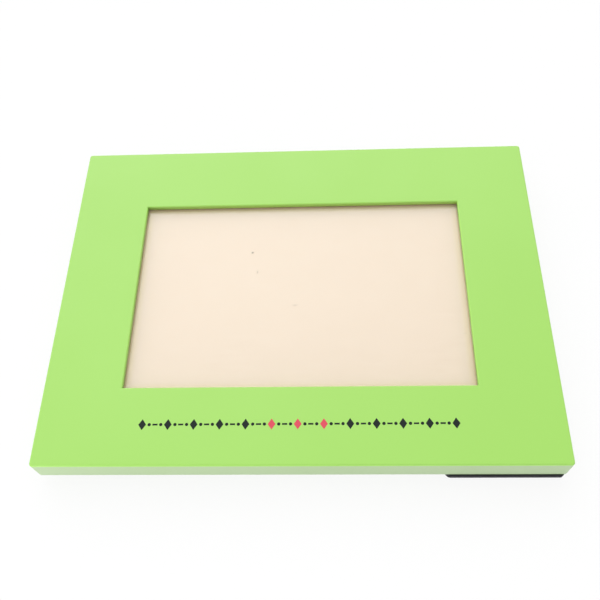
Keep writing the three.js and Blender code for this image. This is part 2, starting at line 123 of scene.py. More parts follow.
def linear(hex_colour: str) -> tuple[float, ...]:
    """Turns an sRGB hex colour into linear light.

    Args:
        hex_colour: six hex digits after a #.

    Returns:
        Red, green, blue and an alpha of 1.
    """
    channels = [int(hex_colour[at : at + 2], 16) / 255 for at in (1, 3, 5)]
    light = [c / 12.92 if c <= 0.04045 else ((c + 0.055) / 1.055) ** 2.4 for c in channels]
    return (*light, 1.0)


def pattern_scale(size_mm: float) -> float:
    """The texture scale at which one feature of a pattern is this many millimetres wide."""
    return 1 / (size_mm * MM)


def add_node(
    tree: NodeTree,
    kind: str,
    *values: object,
    inputs: dict[int | str, object] | None = None,
    output: int | str = 0,
    **settings: object,
) -> NodeSocket:
    """Adds one shader node.

    Args:
        tree: the node tree that gets it.
        kind: the node's Blender type, without the ShaderNode that it starts with.
        values: a value or a linked output socket for each of the node's first inputs.
        inputs: the same for other inputs, by their names or numbers.
        output: the output to give back, by its name or number.
        settings: the node's own properties.

    Returns:
        That output of the new node.
    """
    node = tree.nodes.new(f"ShaderNode{kind}")
    for name, value in settings.items():
        setattr(node, name, value)
    for key, value in (dict(enumerate(values)) | (inputs or {})).items():
        if isinstance(value, NodeSocket):
            tree.links.new(value, node.inputs[key])
        else:
            node.inputs[key].default_value = value
    return node.outputs[output]


def blend(tree: NodeTree, share: NodeSocket, first: str | NodeSocket, second: str) -> NodeSocket:
    """Mixes two colours.

    Args:
        tree: the node tree that gets the node.
        share: the output that holds the second colour's share, from 0 to 1.
        first: the first colour in hex, or the output that holds it.
        second: the second colour in hex.

    Returns:
        The output that holds the mixed colour.
    """
    start = first if isinstance(first, NodeSocket) else linear(first)
    # A Mix node's colours are its inputs 6 and 7, and the mixed colour is its output 2.
    colours = {6: start, 7: linear(second)}
    return add_node(tree, "Mix", share, inputs=colours, output=2, data_type="RGBA")


def relief(
    tree: NodeTree, height: NodeSocket, rise_mm: float, over: NodeSocket | None = None
) -> NodeSocket:
    """Raises a finish into a relief.

    Args:
        tree: the node tree that gets the node.
        height: the output that holds the relief, from 0 to 1.
        rise_mm: how far its highest points stand out, in millimetres.
        over: the output that holds the normals of another relief under it.

    Returns:
        The output that holds its normals.
    """
    base = {} if over is None else {"Normal": over}
    return add_node(tree, "Bump", inputs={"Height": height, "Distance": rise_mm * MM} | base)


def set_surface(owner: Material | World, build: Callable[[NodeTree], NodeSocket]) -> None:
    """Gives a material or a world its one shader.

    Args:
        owner: the material or world.
        build: adds the shader's nodes to an empty tree and gives their last output.
    """
    owner.use_nodes = True
    tree = owner.node_tree
    tree.nodes.clear()
    end = tree.nodes.new(f"ShaderNodeOutput{type(owner).__name__}")
    tree.links.new(build(tree), end.inputs["Surface"])


def grain(
    tree: NodeTree,
    size_mm: float,
    detail: float,
    squash: Triple = (1.0, 1.0, 1.0),
    turn: float = 0.0,
    distortion: float = 0.0,
) -> NodeSocket:
    """Lays noise on the object's own coordinates.

    Args:
        tree: the node tree that gets the nodes.
        size_mm: the width of one feature in millimetres.
        detail: the number of finer layers in it.
        squash: how many times narrower a feature is along X, Y and Z.
        turn: how far those axes are turned about Z.
        distortion: how far the noise is stirred.

    Returns:
        The output that holds it, from 0 to 1.
    """
    place = add_node(tree, "TexCoord", output="Object")
    # Two nodes, because one Mapping node would squash before it turns.
    turned = add_node(tree, "Mapping", place, inputs={"Rotation": (0.0, 0.0, -turn)})
    squashed = add_node(tree, "Mapping", turned, inputs={"Scale": squash})
    scale = pattern_scale(size_mm)
    noise = {"Vector": squashed, "Scale": scale, "Detail": detail, "Distortion": distortion}
    return add_node(tree, "TexNoise", inputs=noise)


def overhang(tree: NodeTree, corner: Vector) -> tuple[NodeSocket, NodeSocket]:
    """How far a point of the object lies past a box that is centred on the frame's Z axis.

    Args:
        tree: the node tree that gets the nodes.
        corner: the box's highest corner in metres.

    Returns:
        The outputs that hold how far it is past the nearest side and past the top, in metres.
    """
    place = add_node(tree, "TexCoord", output="Object")
    apart = add_node(tree, "VectorMath", place, operation="ABSOLUTE")
    past = add_node(tree, "VectorMath", apart, corner, operation="SUBTRACT")
    past_x, past_y, past_top = add_node(tree, "SeparateXYZ", past).node.outputs
    return add_node(tree, "Math", past_x, past_y, operation="MAXIMUM"), past_top


@dataclass(frozen=True)
class Finish:
    """A finish: its material's name and the record's slot that it belongs to."""

    name: str
    slot: str

    def shader(self, tree: NodeTree) -> NodeSocket:
        """Adds the finish's own nodes to an empty tree and gives the shader that they end in."""
        raise NotImplementedError

    def material(self) -> Material:
        """Makes the finish a Blender material at its first use.

        Returns:
            The material, the same one at each use.
        """
        made = bpy.data.materials.get(self.name)
        if made is None:
            made = bpy.data.materials.new(self.name)
            set_surface(made, self.shader)
        return made


@dataclass(frozen=True)
class LipTone:
    """One band of the painted shade and bare board round the window.

    Its colour, and the heights above the glass where it is full and gone.
    """

    colour: str
    full_mm: float
    gone_mm: float


@dataclass(frozen=True)
class SprayedLacquer(Finish):
    """Satin polyurethane lacquer, sprayed on sealed fibreboard.

    It shows an even colour with a slight drift where the coats overlap, a pale sheen painted on the
    outer sides for the reflection of the white floor, a deeper green painted down the lip's wall as
    its shade, a dark olive band painted at the wall's foot as the shade in that corner over bare
    board, and the bare pale board of the rabbet, where the spray didn't reach, no grain, a soft wide
    highlight, the fine ripple that sprayed lacquer dries to, and a few dust nibs under the film.
    """

    colour: str = "#A3DB61"
    drift_colour: str = "#9FD75C"
    drift_mm: float = 55.0
    # Painted reflection: the outer sides are paler, for the white floor that they mirror, starting a little
    # below the face's rounded edge.
    thin_colour: str = "#A5C18A"
    thin_reach_mm: float = 0.4
    full_depth_mm: float = 0.85
    # Painted shade: a deeper green down the lip's wall, and a dark olive band at its foot for the shade in
    # that corner over brown bare board. Under them lies the pale bare board of the rabbet.
    lip_tones: tuple[LipTone, ...] = (
        LipTone("#92BC51", 1.7, 2.2),
        LipTone("#7A6A32", 0.15, 0.7),
        LipTone("#E0BE86", 0.05, 0.1),
    )
    lip_reach_mm: float = 1.0
    ripple_mm: float = 1.9
    ripple_height_mm: float = 0.006
    nib_spacing_mm: float = 17.0
    nib_radius_mm: float = 0.28
    nib_height_mm: float = 0.03
    smudge_mm: float = 24.0
    smudge_span: Point = (0.3, 0.7)
    roughness_span: Point = (0.36, 0.44)

    def shader(self, tree: NodeTree) -> NodeSocket:
        """Builds the lacquer.

        Args:
            tree: the empty tree that gets its nodes.

        Returns:
            Its shader.
        """
        drift = grain(tree, self.drift_mm, detail=2)
        coat = blend(tree, drift, self.colour, self.drift_colour)
        # Painted reflection: the pale sheen on the outer sides stands in for the white floor that they
        # mirror.
        film = blend(tree, self.thinness(tree), coat, self.thin_colour)
        smudge = grain(tree, self.smudge_mm, detail=3)
        ripple = relief(tree, grain(tree, self.ripple_mm, detail=1), self.ripple_height_mm)
        place = add_node(tree, "TexCoord", output="Object")
        cells = {"Vector": place, "Scale": pattern_scale(self.nib_spacing_mm)}
        from_nib = add_node(tree, "TexVoronoi", inputs=cells)
        rim = self.nib_radius_mm / self.nib_spacing_mm
        nib = add_node(tree, "MapRange", from_nib, 0.0, rim, 1.0, 0.0, **EASED)
        surface = {
            "Base Color": self.round_window(tree, film),
            "Roughness": add_node(tree, "MapRange", smudge, *self.smudge_span, *self.roughness_span),
            "IOR": 1.5,
            "Coat Weight": 0.3,
            "Coat Roughness": 0.12,
            "Normal": relief(tree, nib, self.nib_height_mm, ripple),
        }
        return add_node(tree, "BsdfPrincipled", inputs=surface)

    def thinness(self, tree: NodeTree) -> NodeSocket:
        """Where a pale sheen is painted, for the white floor that the outer sides reflect.

        Args:
            tree: the lacquer's node tree.

        Returns:
            The output that holds it: 1 on the frame's outer sides, 0 on the face and its rounded edge.
        """
        past_side, past_face = overhang(tree, OUTER)
        reach = self.thin_reach_mm * MM
        face_end = -self.full_depth_mm * MM
        on_side = add_node(tree, "MapRange", past_side, -reach, 0.0, **EASED)
        below_edge = add_node(tree, "MapRange", past_face, face_end, face_end - reach, **EASED)
        return add_node(tree, "Math", on_side, below_edge, operation="MULTIPLY")

    def round_window(self, tree: NodeTree, coated: NodeSocket) -> NodeSocket:
        """The colour round the window: painted shade down the lip's wall and at its foot, bare board below.

        Args:
            tree: the lacquer's node tree.
            coated: the colour of the coat elsewhere.

        Returns:
            The output that holds the colour.
        """
        past_pane, height = overhang(tree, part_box("glass_pane")[1])
        inside = add_node(tree, "Math", past_pane, self.lip_reach_mm * MM, operation="LESS_THAN")
        shown = coated
        for tone in self.lip_tones:
            heights = (tone.full_mm * MM, tone.gone_mm * MM)
            share = add_node(tree, "MapRange", height, *heights, 1.0, 0.0, **EASED)
            part = add_node(tree, "Math", inside, share, operation="MULTIPLY")
            shown = blend(tree, part, shown, tone.colour)
        return shown


@dataclass(frozen=True)
class FloatGlass(Finish):
    """Clear float glass: flat, colourless through its face, with plain mirror reflections.

    Lamp light, and light that the board behind it scatters, pass straight through, so the board is lit
    as through a real pane.
    """

    tint: str = "#FAFDFB"
    roughness: float = 0.02
    ior: float = 1.5

    def shader(self, tree: NodeTree) -> NodeSocket:
        """Builds the glass.

        Args:
            tree: the empty tree that gets its nodes.

        Returns:
            Its shader.
        """
        surface = {
            "Base Color": linear(self.tint),
            "Roughness": self.roughness,
            "IOR": self.ior,
            "Transmission Weight": 1.0,
        }
        shown = add_node(tree, "BsdfPrincipled", inputs=surface)
        clear = add_node(tree, "BsdfTransparent", linear(self.tint))
        rays = add_node(tree, "LightPath").node.outputs
        for passing in ("Is Shadow Ray", "Is Diffuse Ray"):
            shown = add_node(tree, "MixShader", rays[passing], shown, clear)
        return shown


@dataclass(frozen=True)
class Fleck:
    """One fleck of bark in a board: its middle and half sizes in millimetres, and how dark it is."""

    middle: Point
    reach: Point
    strength: float
    core: float = 0.4

    def darkness(self, tree: NodeTree) -> NodeSocket:
        """How dark the fleck makes a point of the board.

        Args:
            tree: the board's node tree.

        Returns:
            The output that holds it, the fleck's strength in its core and 0 past its rim.
        """
        middle = (*(size * MM for size in self.middle), 0.0)
        stretch = (*(pattern_scale(size) for size in self.reach), 0.0)
        place = add_node(tree, "TexCoord", output="Object")
        off = add_node(tree, "VectorMath", place, middle, operation="SUBTRACT")
        flat = add_node(tree, "VectorMath", off, stretch, operation="MULTIPLY")
        away = add_node(tree, "VectorMath", flat, output="Value", operation="LENGTH")
        return add_node(tree, "MapRange", away, self.core, 1.0, self.strength, 0.0)


@dataclass(frozen=True)
class FleckedBoard(Finish):
    """Uncoated beige filler board, machine made from mixed pulp.

    It shows a pale warm tone with a faint streaky fibre, a warm tint painted along the lip as the
    colour of the shade that it casts, and a very few dark bark flecks, dead matt.
    """

    colour: str = "#F9DECC"
    fibre_colour: str = "#F1D4C0"
    # Painted shade: the board turns warmer near the lip, for the colour of the shade that the lip casts.
    rim_colour: str = "#FBDDB6"
    rim_reach_mm: float = 3.4
    fleck_colour: str = "#8E6C4A"
    streak_mm: float = 9.0
    streak_ratio: float = 9.0
    fibre_mm: float = 0.5
    fibre_height_mm: float = 0.02
    flecks: tuple[Fleck, ...] = (
        Fleck((-21.2, 20.7), (0.62, 0.62), 1.0),
        Fleck((-18.6, 10.5), (0.45, 1.0), 0.5),
        Fleck((-2.1, -6.1), (1.5, 0.55), 0.3),
        Fleck((67.6, -20.3), (0.9, 0.4), 0.25),
    )
    speck_spacing_mm: float = 11.0
    speck_radius_mm: float = 0.16
    speck_strength: float = 0.35

    def shader(self, tree: NodeTree) -> NodeSocket:
        """Builds the board.

        Args:
            tree: the empty tree that gets its nodes.

        Returns:
            Its shader.
        """
        streak = grain(tree, self.streak_mm, detail=4, squash=(1.0, self.streak_ratio, 1.0))
        pulp = blend(tree, streak, self.colour, self.fibre_colour)
        past_window = overhang(tree, SIGHT)[0]
        # The warm tint near the lip is painted shade.
        near_lip = add_node(tree, "MapRange", past_window, -self.rim_reach_mm * MM, 0.0, **EASED)
        sheet = blend(tree, near_lip, pulp, self.rim_colour)
        place = add_node(tree, "TexCoord", output="Object")
        cells = {"Vector": place, "Scale": pattern_scale(self.speck_spacing_mm)}
        from_speck = add_node(tree, "TexVoronoi", inputs=cells)
        rim = self.speck_radius_mm / self.speck_spacing_mm
        dark = add_node(tree, "MapRange", from_speck, rim / 2, rim, self.speck_strength, 0.0)
        for fleck in self.flecks:
            dark = add_node(tree, "Math", dark, fleck.darkness(tree), operation="MAXIMUM")
        surface = {
            "Base Color": blend(tree, dark, sheet, self.fleck_colour),
            "Roughness": 0.92,
            "Specular IOR Level": 0.25,
            "Normal": relief(tree, grain(tree, self.fibre_mm, detail=3), self.fibre_height_mm),
        }
        return add_node(tree, "BsdfPrincipled", inputs=surface)


@dataclass(frozen=True)
class PressedBoard(Finish):
    """Hard pressed board, dyed or raw, cut with a die.

    It shows a mottled matt face, and a cut edge drawn into thin layers. The layers are coarser than
    real ones, so that they show in a render.
    """

    colour: str = "#2A2B2E"
    mottle_colour: str = "#1F2023"
    mottle_mm: float = 1.3
    layer_mm: float = 6.0
    layer_ratio: float = 20.0
    tone_span: Point = (0.12, 0.4)
    relief_mm: float = 0.06
    roughness: float = 0.8

    def shader(self, tree: NodeTree) -> NodeSocket:
        """Builds the board.

        Args:
            tree: the empty tree that gets its nodes.

        Returns:
            Its shader.
        """
        mottle = grain(tree, self.mottle_mm, detail=4)
        layers = grain(tree, self.layer_mm, detail=3, squash=(1.0, 1.0, self.layer_ratio))
        both = add_node(tree, "Math", mottle, layers, operation="MULTIPLY")
        tone = add_node(tree, "MapRange", both, *self.tone_span)
        surface = {
            "Base Color": blend(tree, tone, self.mottle_colour, self.colour),
            "Roughness": self.roughness,
            "Specular IOR Level": 0.3,
            "Normal": relief(tree, both, self.relief_mm),
        }
        return add_node(tree, "BsdfPrincipled", inputs=surface)


@dataclass(frozen=True)
class FlockedPaper(Finish):
    """Black flocked paper: short rayon fibres standing in glue on a paper sheet.

    It shows a deep velvety black with a pale sheen at low angles, a short cloudy nap where the
    fibres lean, and a fine pile that is drawn twice as coarse as it is, to show in a render.
    """

    colour: str = "#18181B"
    nap_colour: str = "#303034"
    nap_mm: float = 13.0
    nap_stir: float = 0.6
    pile_mm: float = 0.35
    pile_height_mm: float = 0.12
    tone_span: Point = (0.14, 0.38)

    def shader(self, tree: NodeTree) -> NodeSocket:
        """Builds the flock.

        Args:
            tree: the empty tree that gets its nodes.

        Returns:
            Its shader.
        """
        nap = grain(tree, self.nap_mm, detail=5, distortion=self.nap_stir)
        pile = grain(tree, self.pile_mm, detail=2)
        both = add_node(tree, "Math", nap, pile, operation="MULTIPLY")
        tone = add_node(tree, "MapRange", both, *self.tone_span)
        surface = {
            "Base Color": blend(tree, tone, self.colour, self.nap_colour),
            "Roughness": 0.95,
            "Specular IOR Level": 0.1,
            "Sheen Weight": 0.25,
            "Sheen Roughness": 0.45,
            "Normal": relief(tree, pile, self.pile_height_mm),
        }
        return add_node(tree, "BsdfPrincipled", inputs=surface)


@dataclass(frozen=True)
class PlatedSteel(Finish):
    """Stamped steel with a thin bright plating.

    It shows a neutral metal with the fine rolling lines of the strip, a cloudy change of gloss from
    the plating bath, and softer highlights where it has been handled. The lines are drawn wider
    than real ones, so that they show in a render.
    """

    colour: str = "#C4C4C0"
    cloud_colour: str = "#B2B2AD"
    cloud_mm: float = 3.2
    line_mm: float = 4.0
    line_ratio: float = 26.0
    line_height_mm: float = 0.004
    dull_span: Point = (0.12, 0.4)
    roughness_span: Point = (0.2, 0.36)
    turn: float = 0.0

    def shader(self, tree: NodeTree) -> NodeSocket:
        """Builds the metal.

        Args:
            tree: the empty tree that gets its nodes.

        Returns:
            Its shader.
        """
        cloud = grain(tree, self.cloud_mm, detail=4)
        lines = grain(tree, self.line_mm, detail=3, squash=(1.0, self.line_ratio, 1.0), turn=self.turn)
        dull = add_node(tree, "Math", cloud, lines, operation="MULTIPLY")
        surface = {
            "Base Color": blend(tree, cloud, self.colour, self.cloud_colour),
            "Metallic": 1.0,
            "Roughness": add_node(tree, "MapRange", dull, *self.dull_span, *self.roughness_span),
            "Normal": relief(tree, lines, self.line_height_mm),
        }
        return add_node(tree, "BsdfPrincipled", inputs=surface)


@dataclass(frozen=True)
class ScreenInk(Finish):
    """Screen-printing ink on lacquer: a thin opaque film.

    It shows a flat, slightly mottled colour with a duller gloss than the lacquer round it.
    """

    colour: str = "#0C1613"
    thin_colour: str = "#14241D"
    mottle_mm: float = 0.7

    def shader(self, tree: NodeTree) -> NodeSocket:
        """Builds the ink.

        Args:
            tree: the empty tree that gets its nodes.

        Returns:
            Its shader.
        """
        mottle = grain(tree, self.mottle_mm, detail=2)
        colour = blend(tree, mottle, self.colour, self.thin_colour)
        surface = {"Base Color": colour, "Roughness": 0.6, "Specular IOR Level": 0.25}
        return add_node(tree, "BsdfPrincipled", inputs=surface)


EASEL_TURN = math.atan2(*reversed(JOINTS["easel_leg_hinge"]["axis"][:2]))

LACQUER = SprayedLacquer("sprayed_lime_lacquer", "lacquered_fibreboard")
NAIL_LACQUER = SprayedLacquer("lime_lacquer_over_nails", "lacquered_nail", colour="#9AD25A")
GLASS = FloatGlass("clear_float_glass", "float_glass")
FILLER = FleckedBoard("beige_filler_board", "beige_board")
BACK_BOARD = PressedBoard(
    "grey_pressed_board", "grey_board", colour="#B9A78C", mottle_colour="#95846B", roughness=0.88
)
LEG_BOARD = PressedBoard("black_pressed_board", "black_board")
LEG_EDGE = PressedBoard("black_board_cut_edge", "black_board", colour="#35343C", mottle_colour="#0D0D11")
FLOCK = FlockedPaper("black_flocked_paper", "black_flock")
NICKEL = PlatedSteel("nickel_plated_steel", "nickel_steel", turn=EASEL_TURN)
ZINC = PlatedSteel(
    "zinc_plated_steel",
    "zinc_steel",
    colour="#BBC1C5",
    cloud_colour="#A3A9AE",
    cloud_mm=1.6,
    roughness_span=(0.27, 0.45),
)
SLATE_INK = ScreenInk("slate_screen_ink", "lacquered_fibreboard")
CORAL_INK = ScreenInk("coral_screen_ink", "lacquered_fibreboard", colour="#D9485A", thin_colour="#E05866")


def of_kind(geometry: Iterable, kind: type) -> list:
    """The vertices, edges or faces among what a bmesh operator gives back."""
    return [item for item in geometry if isinstance(item, kind)]


def all_of(bm: BMesh) -> list:
    """Every vertex, edge and face of a bmesh."""
    return [*bm.verts, *bm.edges, *bm.faces]


def sharp_edges(bm: BMesh) -> list[BMEdge]:
    """The edges where two faces meet at a clear corner."""
    return [edge for edge in bm.edges if edge.is_manifold and edge.calc_face_angle() > SHARP_ANGLE]


def uprights(bm: BMesh) -> list[BMEdge]:
    """The edges that run straight along Z."""
    lines = {edge: edge.verts[0].co - edge.verts[1].co for edge in bm.edges}
    return [edge for edge, line in lines.items() if abs(line.normalized().z) > SAME_WAY]


def facing(bm: BMesh, direction: Vector) -> list[BMFace]:
    """The faces that look straight along a direction."""
    return [face for face in bm.faces if face.normal.dot(direction) > SAME_WAY]


def round_off(bm: BMesh, parts: Sequence[BMEdge | BMVert], reach: float, segments: int) -> None:
    """Rounds edges of a solid, or corners of a flat outline.

    Args:
        bm: the mesh that holds them.
        parts: the edges or the corners.
        reach: how far from them the round starts, in millimetres.
        segments: the number of faces or edges along the round.
    """
    at_corners = isinstance(parts[0], BMVert)
    bmesh.ops.bevel(
        bm,
        geom=parts,
        offset=reach * MM,
        offset_type="OFFSET",
        affect="VERTICES" if at_corners else "EDGES",
        segments=segments,
        profile=0.5,
        material=-1,
        clamp_overlap=True,
    )
    if at_corners:
        bmesh.ops.remove_doubles(bm, verts=bm.verts[:], dist=MERGE_DISTANCE)


def outline(corners: Iterable[Point], z: float) -> BMesh:
    """Makes one flat face through corner points.

    Args:
        corners: x and y of each corner in millimetres, anticlockwise.
        z: the face's height in millimetres.

    Returns:
        A bmesh with that face.
    """
    bm = bmesh.new()
    points = [bm.verts.new((x * MM, y * MM, z * MM)) for x, y in corners]
    rim = [bm.edges.new(pair) for pair in zip(points, points[1:] + points[:1])]
    bmesh.ops.contextual_create(bm, geom=rim)
    bm.normal_update()
    return bm


def thicken(bm: BMesh, height: float) -> None:
    """Raises the flat outline in a bmesh into a closed sheet.

    Args:
        bm: the outline.
        height: the sheet's thickness in millimetres, along +Z.
    """
    raised = bmesh.ops.extrude_face_region(bm, geom=bm.faces[:])
    bmesh.ops.translate(bm, vec=UP * height * MM, verts=of_kind(raised["geom"], BMVert))
    bmesh.ops.recalc_face_normals(bm, faces=bm.faces[:])


def draw_out(bm: BMesh, faces: Sequence[BMFace], move: Vector) -> list[BMFace]:
    """Draws faces of a closed shape out, or pushes them in.

    Args:
        bm: the shape.
        faces: the faces to move.
        move: how far they go, in metres.

    Returns:
        The faces in their new place.
    """
    drawn = bmesh.ops.extrude_face_region(bm, geom=list(faces))
    bmesh.ops.delete(bm, geom=list(faces), context="FACES_ONLY")
    bmesh.ops.translate(bm, vec=move, verts=of_kind(drawn["geom"], BMVert))
    return of_kind(drawn["geom"], BMFace)


def moved(bm: BMesh, place: Matrix) -> BMesh:
    """Moves a whole mesh by a matrix and gives it back."""
    bmesh.ops.transform(bm, matrix=place, verts=bm.verts[:])
    return bm


def add_block(bm: BMesh, centre: Vector, size: Sequence[float]) -> list[BMVert]:
    """Adds a box to a bmesh.

    Args:
        bm: the mesh that gets it.
        centre: the box's middle in metres.
        size: its size along X, Y and Z in metres.

    Returns:
        The box's corners.
    """
    place = Matrix.Translation(centre) @ Matrix.Diagonal((*size, 1))
    made = bmesh.ops.create_cube(bm, size=1.0, matrix=place)
    bm.normal_update()
    return made["verts"]


def add_bar(bm: BMesh, place: Point, radius: float, low: float, high: float) -> None:
    """Adds a round bar along Z to a bmesh, as a drill for holes.

    Args:
        bm: the mesh that gets it.
        place: the bar's x and y in millimetres.
        radius: its radius in millimetres.
        low: its lower end in millimetres.
        high: its upper end in millimetres.
    """
    bmesh.ops.create_cone(
        bm,
        cap_ends=True,
        segments=ROUND_STEPS,
        radius1=radius * MM,
        radius2=radius * MM,
        depth=(high - low) * MM,
        matrix=Matrix.Translation(Vector((*place, (low + high) / 2)) * MM),
    )


def lathe(
    profile: Sequence[Point], place: Point = (0, 0), steps: int = ROUND_STEPS, into: BMesh | None = None
) -> BMesh:
    """Spins a profile full round an axis along Z.

    Args:
        profile: radius and height of each point in millimetres, from axis to axis.
        place: the axis's x and y in millimetres.
        steps: the number of faces round the turn.
        into: a mesh that the turned shape is added to.

    Returns:
        That mesh, or a new one, with the closed turned shape.
    """
    bm = bmesh.new() if into is None else into
    centre = Vector((*place, 0)) * MM
    points = [bm.verts.new(centre + Vector((radius, 0, z)) * MM) for radius, z in profile]
    lines = [bm.edges.new(pair) for pair in zip(points, points[1:])]
    bmesh.ops.spin(
        bm, geom=[*points, *lines], cent=centre, axis=UP, angle=FULL_TURN, steps=steps, use_merge=True
    )
    bmesh.ops.remove_doubles(bm, verts=bm.verts[:], dist=MERGE_DISTANCE)
    bmesh.ops.recalc_face_normals(bm, faces=bm.faces[:])
    return bm


def dome(radius: float, rim_z: float, rise: float) -> list[Point]:
    """A dome's profile for the lathe, from its crown on the axis out to its rim.

    Args:
        radius: the rim's radius in millimetres.
        rim_z: the rim's height in millimetres.
        rise: how far the crown stands below the rim, in millimetres.

    Returns:
        Radius and height of each point.
    """
    angles = [math.pi / 2 * step / DOME_STEPS for step in range(DOME_STEPS + 1)]
    return [(radius * math.sin(a), rim_z - rise * math.cos(a)) for a in angles]


def add_object(name: str, data: ID) -> Object:
    """Puts a mesh, a light or a camera into the scene.

    Args:
        name: the object's name.
        data: what it shows.

    Returns:
        The new object.
    """
    made = bpy.data.objects.new(name, data)
    bpy.context.scene.collection.objects.link(made)
    return made


def add_mesh(name: str, bm: BMesh) -> Object:
    """Puts a bmesh into the scene.

    Args:
        name: the name of the mesh and its object.
        bm: the bmesh, which is used up.

    Returns:
        The new object.
    """
    mesh = bpy.data.meshes.new(name)
    bm.to_mesh(mesh)
    bm.free()
    return add_object(name, mesh)


def carve(blank: BMesh, tool: BMesh) -> BMesh:
    """Cuts one closed shape out of another.

    Args:
        blank: the shape to cut, which is used up.
        tool: the shape that is taken away, which is used up.

    Returns:
        What is left of the blank.
    """
    stock = add_mesh("blank", blank)
    cutter = add_mesh("tool", tool)
    cut = stock.modifiers.new("carve", "BOOLEAN")
    cut.operation = "DIFFERENCE"
    cut.solver = "EXACT"
    cut.object = cutter
    carved = bmesh.new()
    carved.from_object(stock, bpy.context.evaluated_depsgraph_get())
    for helper in (stock, cutter):
        bpy.data.meshes.remove(helper.data)
    bmesh.ops.remove_doubles(carved, verts=carved.verts[:], dist=MERGE_DISTANCE)
    return carved


def slab(node: str, corner: float, edge: float, segments: int) -> BMesh:
    """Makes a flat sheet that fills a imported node's box, with rounded corners and softened edges.

    Args:
        node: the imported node.
        corner: the radius of its four corners in millimetres.
        edge: the radius along its faces in millimetres.
        segments: the number of faces across that edge.

    Returns:
        The closed sheet.
    """
    low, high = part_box(node)
    bm = bmesh.new()
    add_block(bm, (low + high) / 2, high - low)
    round_off(bm, uprights(bm), corner, segments=4)
    round_off(bm, sharp_edges(bm), edge, segments)
    return bm


def add_piece(
    name: str, bm: BMesh, finishes: Sequence[Finish], body: str, nodes: Sequence[str] = ()
) -> Object:
    """Makes a finished bmesh a piece of the object.

    Args:
        name: the piece's name.
        bm: its mesh in the frame's own place, which is used up.
        finishes: its finishes, in the order of the faces' material numbers.
        body: the body that it rides on.
        nodes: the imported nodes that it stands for.

    Returns:
        The new object.
    """
    bmesh.ops.recalc_face_normals(bm, faces=bm.faces[:])
    piece = add_mesh(name, bm)
    piece.data.shade_smooth()
    piece.data.set_sharp_from_angle(angle=SMOOTH_ANGLE)
    for finish in finishes:
        piece.data.materials.append(finish.material())
    piece.modifiers.new("even_shading", "WEIGHTED_NORMAL").keep_sharp = True
    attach(piece, body)
    if nodes:
        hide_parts(*nodes)
    return piece


